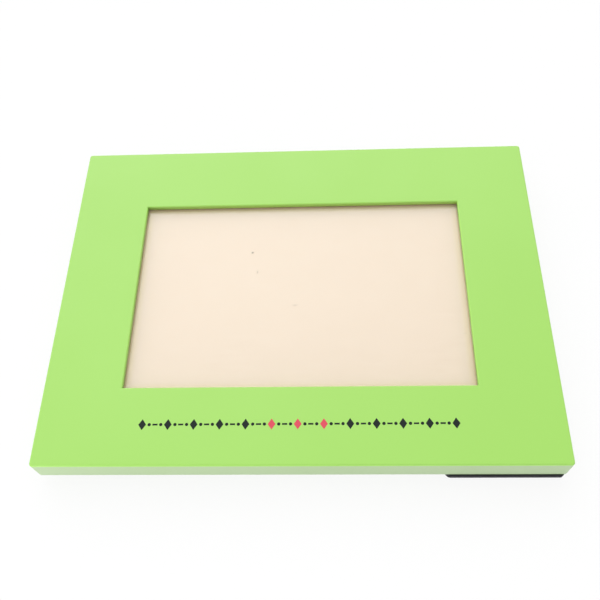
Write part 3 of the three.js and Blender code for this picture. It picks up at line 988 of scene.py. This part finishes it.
@dataclass
class Moulding:
    """The four mitred rails, sprayed after they were joined, so that no joint line shows in front."""

    lip_depth: float = 2.3
    rabbet_width: float = 7.0
    corner_radius: float = 1.2
    front_radius: float = 0.9
    back_radius: float = 1.2
    sight_radius: float = 0.5
    nail_clearance: float = 0.12
    nail_steel: float = 0.6
    pilot_radius: float = 1.55
    pilot_clearance: float = 0.15

    def blank(self) -> BMesh:
        """Shapes the whole frame as one ring.

        Returns:
            The closed ring, with its lip, rabbet and rounded edges.
        """
        bm = bmesh.new()
        depth = OUTER.z - SIGHT.z
        add_block(bm, UP * (OUTER.z + SIGHT.z) / 2, (*(2 * OUTER.xy), depth))
        rail_width = OUTER.x - SIGHT.x
        sinks = [
            (facing(bm, UP), rail_width, -self.lip_depth * MM),
            (facing(bm, -UP), rail_width - self.rabbet_width * MM, depth - self.lip_depth * MM),
        ]
        rims = []
        for window, inset, sink in sinks:
            bmesh.ops.inset_region(bm, faces=window, thickness=inset, use_even_offset=True)
            floor = draw_out(bm, window, UP * sink)
            rims += [edge for face in floor for edge in face.edges]
            bmesh.ops.delete(bm, geom=floor, context="FACES_ONLY")
        bmesh.ops.bridge_loops(bm, edges=rims)
        bmesh.ops.recalc_face_normals(bm, faces=bm.faces[:])
        self.round_edges(bm)
        return bm

    def round_edges(self, bm: BMesh) -> None:
        """Rounds the outer corners, then the long edges at the front, the back and the window.

        Args:
            bm: the ring with sharp edges.
        """
        near = OUTER - DIAGONAL * BESIDE * MM
        corners = [
            edge
            for edge in uprights(bm)
            if all(abs(v.co.x) > near.x and abs(v.co.y) > near.y for v in edge.verts)
        ]
        round_off(bm, corners, self.corner_radius, segments=6)
        for level, inner, radius, segments in (
            (OUTER.z, False, self.front_radius, 6),
            (SIGHT.z, False, self.back_radius, 4),
            (OUTER.z, True, self.sight_radius, 4),
        ):
            rim = [edge for edge in sharp_edges(bm) if self.on_rim(edge, level, inner)]
            round_off(bm, rim, radius, segments)

    def on_rim(self, edge: BMEdge, level: float, inner: bool) -> bool:
        """Whether an edge runs at a height along the window, or along the outside.

        Args:
            edge: the edge in question.
            level: the height in metres.
            inner: true for the window's rim, false for the outer one.

        Returns:
            True where it does.
        """
        at_level = all(abs(v.co.z - level) < LEVEL * MM for v in edge.verts)
        near = SIGHT + DIAGONAL * BESIDE * MM
        inside = all(abs(v.co.x) < near.x and abs(v.co.y) < near.y for v in edge.verts)
        rabbet = near + DIAGONAL * self.rabbet_width * MM
        outside = any(abs(v.co.x) > rabbet.x or abs(v.co.y) > rabbet.y for v in edge.verts)
        return at_level and (inside if inner else outside)

    def slots_and_pilots(self) -> BMesh:
        """Makes the tool that cuts the V nails' slots and the screws' pilot holes.

        Returns:
            The tool.
        """
        tool = bmesh.new()
        for name in V_NAILS:
            self.add_nail_slot(tool, *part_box(name))
        for side in Side:
            low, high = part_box(f"button_screw_{side.label}")
            middle = (low + high) / 2 / MM
            mouth = SIGHT.z / MM - CUT_MARGIN
            add_bar(tool, middle[:2], self.pilot_radius, mouth, high.z / MM + self.pilot_clearance)
        return tool

    def add_nail_slot(self, tool: BMesh, low: Vector, high: Vector) -> None:
        """Adds one L-shaped slot to a tool: a heel at the mitre, drawn out along both rails.

        Args:
            tool: the mesh that gets it.
            low: the nail's lowest corner.
            high: its highest corner.
        """
        grow = self.nail_clearance * MM
        steel = self.nail_steel * MM
        middle = (low + high) / 2
        heel = Vector((low.x if middle.x < 0 else high.x, low.y if middle.y < 0 else high.y, 0))
        inward = Vector((-math.copysign(1, middle.x), -math.copysign(1, middle.y), 0))
        bottom = low.z - CUT_MARGIN * MM
        top = high.z + grow
        centre = heel + inward * steel / 2 + UP * (bottom + top) / 2
        corners = add_block(tool, centre, (steel + 2 * grow, steel + 2 * grow, top - bottom))
        heel_faces = {face for corner in corners for face in corner.link_faces}
        for way in (Vector((inward.x, 0, 0)), Vector((0, inward.y, 0))):
            ends = [face for face in heel_faces if face.is_valid and face.normal.dot(way) > SAME_WAY]
            draw_out(tool, ends, way * (high.x - low.x - steel))

    def rail(self, ring: BMesh, side: Side) -> BMesh:
        """Cuts one rail out of the ring along its two mitres.

        Args:
            ring: the whole frame, which stays as it is.
            side: the rail's side.

        Returns:
            The closed rail.
        """
        bm = ring.copy()
        along = side.outward.cross(UP)
        for way in (along, -along):
            cut = bmesh.ops.bisect_plane(
                bm,
                geom=all_of(bm),
                dist=MERGE_DISTANCE,
                plane_co=OUTER * (side.outward + way),
                plane_no=(way - side.outward).normalized(),
                clear_outer=True,
            )
            bmesh.ops.holes_fill(bm, edges=of_kind(cut["geom_cut"], BMEdge))
        return bm

    def build(self) -> list[Object]:
        """Makes the four rails and lacquers the V nails in their backs.

        Returns:
            The rails and the nails.
        """
        ring = carve(self.blank(), self.slots_and_pilots())
        made = []
        for side in Side:
            node = f"rail_{side.label}"
            made.append(add_piece(f"lacquered_{node}", self.rail(ring, side), [LACQUER], "frame", [node]))
        ring.free()
        for nail in V_NAILS.values():
            nail.data.materials.clear()
            nail.data.materials.append(NAIL_LACQUER.material())
            made.append(nail)
        return made


@dataclass
class PrintedBorder:
    """A plain printed row of lozenges, dots and dashes along the bottom rail."""

    half_length: float = 60.0
    period: float = 10.0
    middle_y: float = -59.95
    lozenge_width: float = 3.0
    lozenge_height: float = 4.4
    dot_width: float = 1.3
    dot_offset: float = 2.75
    dot_sides: int = 16
    dash_length: float = 2.0
    dash_width: float = 0.7
    film: float = 0.02
    coral_reach: float = 10.5

    def add_mark(self, bm: BMesh, x: float, size: Point, sides: int = 4, turn: float = 0.0) -> None:
        """Adds one flat printed mark: a polygon with its first corner up, drawn to a size.

        Args:
            bm: the print that gets it.
            x: the mark's middle along the rail in millimetres.
            size: its width and height in millimetres, from corner to corner before it is turned.
            sides: the number of its sides.
            turn: how far the polygon is turned before it is drawn to size.
        """
        place = Matrix.Translation((x * MM, self.middle_y * MM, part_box("rail_bottom")[1].z))
        stretch = Matrix.Diagonal((size[0] / 2 * MM, size[1] / 2 * MM, 1, 1))
        mark = place @ stretch @ Matrix.Rotation(turn, 4, "Z")
        bmesh.ops.create_circle(bm, cap_ends=True, radius=1.0, segments=sides, matrix=mark)

    def build(self) -> list[Object]:
        """Makes the slate and the coral print.

        Returns:
            Both prints.
        """
        slate = bmesh.new()
        coral = bmesh.new()
        square_diagonal = math.sqrt(2)
        count = round(self.half_length / self.period)
        for x in [step * self.period for step in range(-count, count + 1)]:
            ink = coral if abs(x) < self.coral_reach else slate
            self.add_mark(ink, x, (self.lozenge_width, self.lozenge_height))
            for dot_x in [x + hand.value * self.dot_offset for hand in Hand]:
                if abs(dot_x) < self.half_length:
                    self.add_mark(slate, dot_x, (self.dot_width, self.dot_width), self.dot_sides)
            dash_x = x + self.period / 2
            if dash_x < self.half_length:
                dash = (square_diagonal * self.dash_length, square_diagonal * self.dash_width)
                self.add_mark(slate, dash_x, dash, turn=math.pi / 4)
        made = []
        for name, bm, ink in (("slate_border", slate, SLATE_INK), ("coral_border", coral, CORAL_INK)):
            thicken(bm, self.film)
            made.append(add_piece(name, bm, [ink], "frame"))
        return made


@dataclass
class Glazing:
    """The glass in the rabbet and the beige filler board that is sold in the picture's place."""

    corner_radius: float = 0.65
    glass_arris: float = 0.3
    board_edge: float = 0.35

    def build(self) -> list[Object]:
        """Makes the pane and the filler board.

        Returns:
            Both pieces.
        """
        pane = slab("glass_pane", self.corner_radius, self.glass_arris, segments=2)
        filler = slab("filler_pad", self.corner_radius, self.board_edge, segments=3)
        return [
            add_piece("window_glass", pane, [GLASS], "frame", ["glass_pane"]),
            add_piece("filler_board", filler, [FILLER], "frame", ["filler_pad"]),
        ]


@dataclass
class RivetSizes:
    """The rivets of the easel, shared by the sheets that they go through."""

    radius: float = 1.25
    head_radius: float = 2.5
    head_height: float = 0.6
    clinch_radius: float = 2.0
    clinch_height: float = 0.6
    clearance: float = 0.15
    spacing: float = 16.0
    setback: float = 11.0

    def places(self, way: int) -> list[Point]:
        """The two rivets' x and y on the easel, on the backing for a way of 1, on the leg for -1."""
        return [(hand.value * self.spacing / 2, way * self.setback) for hand in Hand]

    def drill(self, way: int, low: float, high: float, pocketed: bool) -> BMesh:
        """Makes the tool for a sheet's rivet holes.

        Args:
            way: 1 for a sheet on the backing, -1 for one on the leg.
            low: the sheet's lower face in millimetres on the easel.
            high: its upper face.
            pocketed: whether the clinched ends are sunk in the upper face.

        Returns:
            The tool, on the easel's own axes.
        """
        tool = bmesh.new()
        bore = self.radius + self.clearance
        pocket = self.clinch_radius + self.clearance
        floor = high - self.clinch_height - self.clearance
        bottom = low - CUT_MARGIN
        top = high + CUT_MARGIN
        stepped = [(0, bottom), (bore, bottom), (bore, floor), (pocket, floor), (pocket, top), (0, top)]
        for place in self.places(way):
            if pocketed:
                lathe(stepped, place, into=tool)
            else:
                add_bar(tool, place, bore, bottom, top)
        return tool


class Easel:
    """The easel's own axes: X along the hinge pin, +Y up the backing, -Y down the leg, Z as the frame."""

    pin: Vector = Vector(JOINTS["easel_leg_hinge"]["pos_m"])

    @classmethod
    def heights(cls, node: str) -> Point:
        """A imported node's lowest and highest point above the pin, in millimetres."""
        low, high = ((corner.z - cls.pin.z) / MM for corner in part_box(node))
        return low, high

    @classmethod
    def set_in_place(cls, bm: BMesh) -> BMesh:
        """Moves a mesh from the easel's own axes, centred on the pin, to the frame's."""
        return moved(bm, Matrix.Translation(cls.pin) @ Matrix.Rotation(EASEL_TURN, 4, "Z"))


@dataclass
class Backing:
    """The backing board in the rabbet, with black flocked paper on its back."""

    rivets: RivetSizes
    corner_radius: float = 0.65
    board_edge: float = 0.2
    paper_edge: float = 0.12

    def drilled(self, node: str, edge: float, pocketed: bool) -> BMesh:
        """Makes a sheet of the backing with its two rivet holes.

        Args:
            node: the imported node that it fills.
            edge: the radius along its faces in millimetres.
            pocketed: whether the rivets' clinched ends are sunk in it.

        Returns:
            The closed sheet.
        """
        tool = Easel.set_in_place(self.rivets.drill(1, *Easel.heights(node), pocketed))
        return carve(slab(node, self.corner_radius, edge, segments=2), tool)

    def build(self) -> list[Object]:
        """Makes the board and its paper.

        Returns:
            Both pieces.
        """
        board = self.drilled("backing_board", self.board_edge, pocketed=True)
        paper = self.drilled("backing_cover", self.paper_edge, pocketed=False)
        return [
            add_piece("pressed_backing", board, [BACK_BOARD], "frame", ["backing_board"]),
            add_piece("backing_flock", paper, [FLOCK], "frame", ["backing_cover"]),
        ]


@dataclass
class EaselLeg:
    """The leg: a tapered board with flocked paper on its outer face, and a foot cut two ways."""

    rivets: RivetSizes
    length: float = 125.0
    top_width: float = 32.0
    top_gap: float = 2.0
    foot_run: float = 43.5
    corner_tangent: float = 1.0
    board_edge: float = 0.3
    paper_edge: float = 0.12
    # A face of the board whose normal rises less than this belongs to the cut edge.
    cut_edge_rise: float = 0.8

    def sheet(self, node: str, edge: float, pocketed: bool) -> BMesh:
        """Makes one layer of the leg, drilled for its rivets.

        Args:
            node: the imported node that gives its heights.
            edge: the radius along its faces in millimetres.
            pocketed: whether the rivets' clinched ends are sunk in it.

        Returns:
            The closed layer, in the frame's own place.
        """
        low, high = Easel.heights(node)
        run = self.foot_run * math.sin(math.pi / 4)
        half = self.top_width / 2
        corners = [
            (0, -self.length),
            (run, run - self.length),
            (half, -self.top_gap),
            (-half, -self.top_gap),
            (-run, run - self.length),
        ]
        bm = outline(corners, low)
        round_off(bm, bm.verts[:], self.corner_tangent, segments=5)
        thicken(bm, high - low)
        round_off(bm, sharp_edges(bm), edge, segments=3)
        return Easel.set_in_place(carve(bm, self.rivets.drill(-1, low, high, pocketed)))

    def build(self) -> list[Object]:
        """Makes the board with its paler cut edge, and the paper on it.

        Returns:
            Both pieces.
        """
        board = self.sheet("easel_leg", self.board_edge, pocketed=True)
        board.normal_update()
        for face in board.faces:
            face.material_index = 1 if abs(face.normal.z) < self.cut_edge_rise else 0
        paper = self.sheet("leg_cover", self.paper_edge, pocketed=False)
        return [
            add_piece("leg_board", board, [LEG_BOARD, LEG_EDGE], "leg", ["easel_leg"]),
            add_piece("leg_flock", paper, [FLOCK], "leg", ["leg_cover"]),
        ]


@dataclass
class EaselHinge:
    """The stamped hinge: two leaves rolled round a pin, with ears on the leg's leaf that stop it."""

    rivets: RivetSizes
    width: float = 28.0
    leaf_length: float = 18.0
    corner_radius: float = 4.0
    barrel_half: float = 9.8
    barrel_clear: float = 2.0
    flap_knuckle: float = 9.0
    knuckle_gap: float = 0.3
    stop_reach: float = 2.59
    pin_radius: float = 0.9
    pin_chamfer: float = 0.25
    pin_clearance: float = 0.1
    edge: float = 0.1
    curl: float = math.radians(285)
    curl_steps: int = 24

    def base_outline(self) -> list[Point]:
        """Draws the backing leaf, with a gap for the other leaf's knuckle.

        Returns:
            Its corners on the easel's own axes.
        """
        half = self.width / 2
        gap = self.flap_knuckle / 2 + self.knuckle_gap
        left = [
            (-half, self.leaf_length),
            (-half, 0),
            (-self.barrel_half, 0),
            (-gap, 0),
            (-gap, self.barrel_clear),
        ]
        return left + [(-x, y) for x, y in reversed(left)]

    def flap_outline(self) -> list[Point]:
        """Draws the leg leaf, with one knuckle and an ear on each side.

        Returns:
            Its corners on the easel's own axes.
        """
        half = self.width / 2
        roll = self.flap_knuckle / 2
        ear = self.barrel_half + self.knuckle_gap
        right = [
            (half, -self.leaf_length),
            (half, self.stop_reach),
            (ear, self.stop_reach),
            (ear, -self.barrel_clear),
            (roll, -self.barrel_clear),
            (roll, 0),
        ]
        return right + [(-x, y) for x, y in reversed(right)]

    def leaf(self, node: str, corners: Sequence[Point], way: int) -> BMesh:
        """Makes one leaf: a stamped plate whose tongues are rolled round the pin.

        Args:
            node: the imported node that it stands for.
            corners: the plate's outline on the easel's own axes.
            way: 1 for the leaf on the backing, -1 for the one on the leg.

        Returns:
            The closed leaf, in the frame's own place.
        """
        low, high = Easel.heights(node)
        steel = max(-low, high) - self.pin_radius - self.pin_clearance
        floor = high - steel if way > 0 else low
        bm = outline(corners, floor)
        far = [v for v in bm.verts if abs(v.co.y) > (self.leaf_length - BESIDE) * MM]
        round_off(bm, far, self.corner_radius, segments=8)
        thicken(bm, steel)
        for tongue in [face for face in facing(bm, Vector((0, -way, 0))) if self.is_tongue(face)]:
            bmesh.ops.spin(
                bm,
                geom=[tongue, *tongue.edges, *tongue.verts],
                cent=(0, 0, 0),
                axis=(1, 0, 0),
                angle=self.curl,
                steps=self.curl_steps,
            )
        bmesh.ops.recalc_face_normals(bm, faces=bm.faces[:])
        round_off(bm, sharp_edges(bm), self.edge, segments=2)
        return Easel.set_in_place(carve(bm, self.rivets.drill(way, floor, floor + steel, pocketed=False)))

    def is_tongue(self, face: BMFace) -> bool:
        """Whether an end face of a plate is beside the pin, so that it is a tongue's and rolls round it."""
        middle = face.calc_center_median()
        return abs(middle.y) < LEVEL * MM and abs(middle.x) < self.barrel_half * MM

    def pin(self) -> BMesh:
        """Turns the pin, with chamfered ends.

        Returns:
            The closed pin, in the frame's own place.
        """
        inner = self.barrel_half - self.pin_chamfer
        small = self.pin_radius - self.pin_chamfer
        profile = [(0, -self.barrel_half), (small, -self.barrel_half), (self.pin_radius, -inner)]
        bm = lathe(profile + [(radius, -z) for radius, z in reversed(profile)])
        return Easel.set_in_place(moved(bm, Matrix.Rotation(math.pi / 2, 4, "Y")))

    def rivet(self, node: str, place: Point) -> BMesh:
        """Turns one rivet: a domed head, its shank and its clinched end.

        Args:
            node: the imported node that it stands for.
            place: its x and y on the easel.

        Returns:
            The closed rivet, in the frame's own place.
        """
        low, high = Easel.heights(node)
        sizes = self.rivets
        seat = low + sizes.head_height
        clinch = high - sizes.clinch_height
        profile = dome(sizes.head_radius, seat, sizes.head_height)
        profile += [(sizes.radius, seat), (sizes.radius, clinch)]
        profile += [(sizes.clinch_radius, clinch), (sizes.clinch_radius, high), (0, high)]
        return Easel.set_in_place(lathe(profile, place))

    def build(self) -> list[Object]:
        """Makes the two leaves, the pin and the four rivets.

        Returns:
            The pieces.
        """
        base = self.leaf("hinge_base", self.base_outline(), 1)
        flap = self.leaf("hinge_flap", self.flap_outline(), -1)
        made = [
            add_piece("rolled_base_leaf", base, [NICKEL], "frame", ["hinge_base"]),
            add_piece("rolled_leg_leaf", flap, [NICKEL], "leg", ["hinge_flap"]),
            add_piece("steel_pin", self.pin(), [NICKEL], "frame", ["hinge_pin"]),
        ]
        for row, body, way in (("base_rivet", "frame", 1), ("leg_rivet", "leg", -1)):
            for hand, place in zip(Hand, self.rivets.places(way)):
                node = f"{row}_{hand.label}"
                made.append(add_piece(f"domed_{node}", self.rivet(node, place), [NICKEL], body, [node]))
        return made


@dataclass
class TurnButtons:
    """The four turn buttons that keep the backing in, each on a pan head screw."""

    steel: float = 0.9
    root_radius: float = 5.0
    tip_radius: float = 3.2
    reach: float = 16.0
    bend_radius: float = 10.0
    bend_run: float = 4.5
    bend_steps: int = 6
    bend_tolerance: float = 0.02
    edge: float = 0.2
    hole_radius: float = 1.55
    shank_radius: float = 1.4
    head_radius: float = 3.0
    head_height: float = 1.5
    head_steps: int = 40
    point: float = 2.2
    recess_width: float = 0.8
    recess_reach: float = 1.7
    recess_depth: float = 0.9
    recess_taper: float = 0.55

    def __post_init__(self) -> None:
        """Works out the bend's angle, and the length that the bent part takes in the flat strip."""
        middle_radius = self.bend_radius + self.steel / 2
        self.bend_angle = math.asin(self.bend_run / middle_radius)
        self.bend_length = middle_radius * self.bend_angle

    def set_in_place(self, bm: BMesh, side: Side) -> BMesh:
        """Moves a mesh from a button's own axes, with its tip along +Y, to its place on the frame.

        Args:
            bm: the mesh.
            side: the button's side.

        Returns:
            The same mesh.
        """
        pivot = JOINTS[f"turn_button_{side.label}_pivot"]["pos_m"]
        turn = math.atan2(side.outward.x, -side.outward.y)
        return moved(bm, Matrix.Translation((*pivot[:2], 0)) @ Matrix.Rotation(turn, 4, "Z"))

    def bend_lines(self) -> list[float]:
        """How far along the flat strip each line of the bend lies, in millimetres."""
        shares = [(step + 0.5) / self.bend_steps for step in range(self.bend_steps)]
        return [self.reach - self.bend_run + self.bend_length * share for share in shares]

    def strip(self, z: float) -> BMesh:
        """Draws the flat button: a rounded root and tip, joined by straight sides.

        Args:
            z: its height in millimetres.

        Returns:
            The flat outline, with a line across it at each line of the bend.
        """
        length = self.reach - self.bend_run + self.bend_length
        lean = math.asin((self.root_radius - self.tip_radius) / (length - self.tip_radius))
        axis_half = self.root_radius / math.cos(lean)
        foot = axis_half + self.root_radius * math.tan(lean)
        top = axis_half - length * math.tan(lean)
        end = -self.root_radius
        bm = outline([(-foot, end), (foot, end), (top, length), (-top, length)], z)
        round_off(bm, [v for v in bm.verts if v.co.y > 0], top, segments=10)
        round_off(bm, [v for v in bm.verts if v.co.y < 0], foot, segments=16)
        for line in self.bend_lines():
            bmesh.ops.bisect_plane(
                bm, geom=all_of(bm), dist=MERGE_DISTANCE, plane_co=(0, line * MM, 0), plane_no=(0, 1, 0)
            )
        return bm

    def button(self, side: Side) -> BMesh:
        """Makes one stamped button, its tip bent away from the frame a little at each line across it.

        Args:
            side: the button's side.

        Returns:
            The closed button with its screw hole, in the frame's own place.
        """
        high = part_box(f"turn_button_{side.label}")[1].z / MM
        low = high - self.steel
        bm = self.strip(low)
        thicken(bm, self.steel)
        round_off(bm, sharp_edges(bm), self.edge, segments=3)
        turn = Matrix.Rotation(-self.bend_angle / self.bend_steps, 3, "X")
        for line in reversed(self.bend_lines()):
            tip = [v for v in bm.verts if v.co.y > (line + self.bend_tolerance) * MM]
            bmesh.ops.rotate(bm, cent=Vector((0, line, (low + high) / 2)) * MM, matrix=turn, verts=tip)
        tool = bmesh.new()
        add_bar(tool, (0, 0), self.hole_radius, low - CUT_MARGIN, high + CUT_MARGIN)
        return self.set_in_place(carve(bm, tool), side)

    def recess(self, head: float) -> BMesh:
        """Makes the tool for a screw's cross recess: a tapered cross.

        Args:
            head: the height of the head's crown in millimetres.

        Returns:
            The tool, centred on the screw.
        """
        tool = bmesh.new()
        size = Vector((self.recess_width, self.recess_width, 2 * self.recess_depth)) * MM
        add_block(tool, UP * head * MM, size)
        for side in Side:
            reach = self.recess_reach - self.recess_width / 2
            draw_out(tool, facing(tool, side.outward)[:1], side.outward * reach * MM)
        deep = [v for v in tool.verts if v.co.z > head * MM]
        bmesh.ops.scale(tool, vec=(self.recess_taper, self.recess_taper, 1), verts=deep)
        return tool

    def screw(self, side: Side) -> BMesh:
        """Makes one pan head screw with a cross recess, its point up in the rail.

        Args:
            side: the screw's side.

        Returns:
            The closed screw, in the frame's own place.
        """
        low, high = (corner.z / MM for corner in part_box(f"button_screw_{side.label}"))
        seat = low + self.head_height
        profile = dome(self.head_radius, seat, self.head_height)
        profile += [(self.shank_radius, seat), (self.shank_radius, high - self.point), (0, high)]
        return self.set_in_place(carve(lathe(profile, steps=self.head_steps), self.recess(low)), side)

    def build(self) -> list[Object]:
        """Makes the four buttons and their screws.

        Returns:
            The pieces.
        """
        made = []
        for side in Side:
            label = side.label
            for name, bm, body, node in (
                (f"stamped_button_{label}", self.button(side), f"button_{label}", f"turn_button_{label}"),
                (f"pan_screw_{label}", self.screw(side), "frame", f"button_screw_{label}"),
            ):
                made.append(add_piece(name, bm, [ZINC], body, [node]))
        return made


@dataclass
class Studio:
    """The pale floor, the soft light and the camera where the photograph was taken."""

    eye: Triple = (15.14, -158.68, 282.66)
    right: Triple = (0.99873, 0.01250, -0.04883)
    down: Triple = (-0.01348, -0.86721, -0.49776)
    lens: float = 44.17
    sensor: float = 36.0
    near_clip: float = 10.0
    floor_half: float = 3000.0
    floor_colour: str = "#FAFAFA"
    floor_clearness: float = 0.88
    sky_colour: str = "#FFFFFF"
    sky_strength: float = 0.79
    lamp_strength: float = 1.6
    lamp_direction: Triple = (-0.25, 0.8, 0.55)
    lamp_rim: float = 0.65
    lamp_core: float = 1.0
    softbox_place: Triple = (-300.0, -380.0, 46.0)
    softbox_width: float = 160.0
    softbox_height: float = 80.0
    softbox_power: float = 0.6

    def add_camera(self) -> None:
        """Makes the scene's camera."""
        data = bpy.data.cameras.new("camera")
        data.lens = self.lens
        data.sensor_width = self.sensor
        data.clip_start = self.near_clip * MM
        camera = add_object("camera", data)
        x = Vector(self.right)
        y = -Vector(self.down)
        turn = Matrix((x, y, x.cross(y))).transposed().to_4x4()
        camera.matrix_world = Matrix.Translation(Vector(self.eye) * MM) @ turn
        bpy.context.scene.camera = camera

    def add_softbox(self) -> None:
        """Makes the small lamp at the front left, which looks at the middle of the floor."""
        light = bpy.data.lights.new("front_softbox", "AREA")
        light.shape = "RECTANGLE"
        light.size = self.softbox_width * MM
        light.size_y = self.softbox_height * MM
        light.energy = self.softbox_power
        lamp = add_object("front_softbox", light)
        lamp.location = Vector(self.softbox_place) * MM
        lamp.rotation_euler = (-lamp.location).to_track_quat("-Z", "Y").to_euler()

    def seen(self, tree: NodeTree) -> NodeSocket:
        """Tells what is seen from what only lights.

        Args:
            tree: the node tree that gets the nodes.

        Returns:
            The output that is 1 for a ray from the camera or by way of gloss or glass, and else 0.
        """
        rays = add_node(tree, "LightPath").node.outputs
        shown = rays["Is Camera Ray"]
        for seeing in ("Is Glossy Ray", "Is Transmission Ray"):
            shown = add_node(tree, "Math", shown, rays[seeing], operation="MAXIMUM")
        return shown

    def daylight(self, tree: NodeTree) -> NodeSocket:
        """Builds the light: even all round, with one large soft lamp, and plain white where it is seen.

        Args:
            tree: the world's empty tree.

        Returns:
            Its shader.
        """
        even = add_node(tree, "MapRange", self.seen(tree), 0.0, 1.0, self.sky_strength, 1.0)
        way = add_node(tree, "TexCoord", output="Generated")
        lamp_way = Vector(self.lamp_direction).normalized()
        towards = add_node(tree, "VectorMath", way, lamp_way, output="Value", operation="DOT_PRODUCT")
        spread = (self.lamp_rim, self.lamp_core, 0.0, self.lamp_strength)
        patch = add_node(tree, "MapRange", towards, *spread, **EASED)
        on_camera = add_node(tree, "LightPath", output="Is Camera Ray")
        unseen = add_node(tree, "Math", 1.0, on_camera, operation="SUBTRACT")
        lamp = add_node(tree, "Math", patch, unseen, operation="MULTIPLY")
        strength = add_node(tree, "Math", even, lamp, operation="ADD")
        return add_node(tree, "Background", linear(self.sky_colour), strength)

    def table_top(self, tree: NodeTree) -> NodeSocket:
        """Builds the floor's finish: pale paper, mostly clear to the eye, so that its shadows are faint.

        Args:
            tree: the empty tree that gets its nodes.

        Returns:
            Its shader, which is all clear from below.
        """
        paper = add_node(tree, "BsdfDiffuse", linear(self.floor_colour))
        clear = add_node(tree, "BsdfTransparent")
        under = add_node(tree, "NewGeometry", output="Backfacing")
        share = add_node(tree, "MapRange", under, 0.0, 1.0, self.floor_clearness, 1.0)
        clearness = add_node(tree, "Math", share, self.seen(tree), operation="MULTIPLY")
        return add_node(tree, "MixShader", clearness, paper, clear)

    def build(self) -> None:
        """Makes the floor, the light and the camera."""
        bm = bmesh.new()
        bmesh.ops.create_grid(bm, x_segments=1, y_segments=1, size=self.floor_half * MM)
        floor = add_mesh("floor", bm)
        floor.data.materials.append(bpy.data.materials.new("white_table_top"))
        set_surface(floor.data.materials[0], self.table_top)
        scene = bpy.context.scene
        scene.world = bpy.data.worlds.new("white_studio")
        set_surface(scene.world, self.daylight)
        self.add_softbox()
        self.add_camera()
        scene.view_settings.view_transform = "Standard"


def main() -> None:
    """Builds the sub-assemblies in order and reports each piece."""
    logging.basicConfig(level=logging.INFO, format="%(name)s: %(message)s")
    rivets = RivetSizes()
    assemblies = [
        Moulding(),
        PrintedBorder(),
        Glazing(),
        Backing(rivets),
        EaselLeg(rivets),
        EaselHinge(rivets),
        TurnButtons(),
    ]
    for assembly in assemblies:
        for piece in assembly.build():
            log.info("%s: %s, %d faces", type(assembly).__name__, piece.name, len(piece.data.polygons))
    Studio().build()


if __name__ == "__main__":
    main()
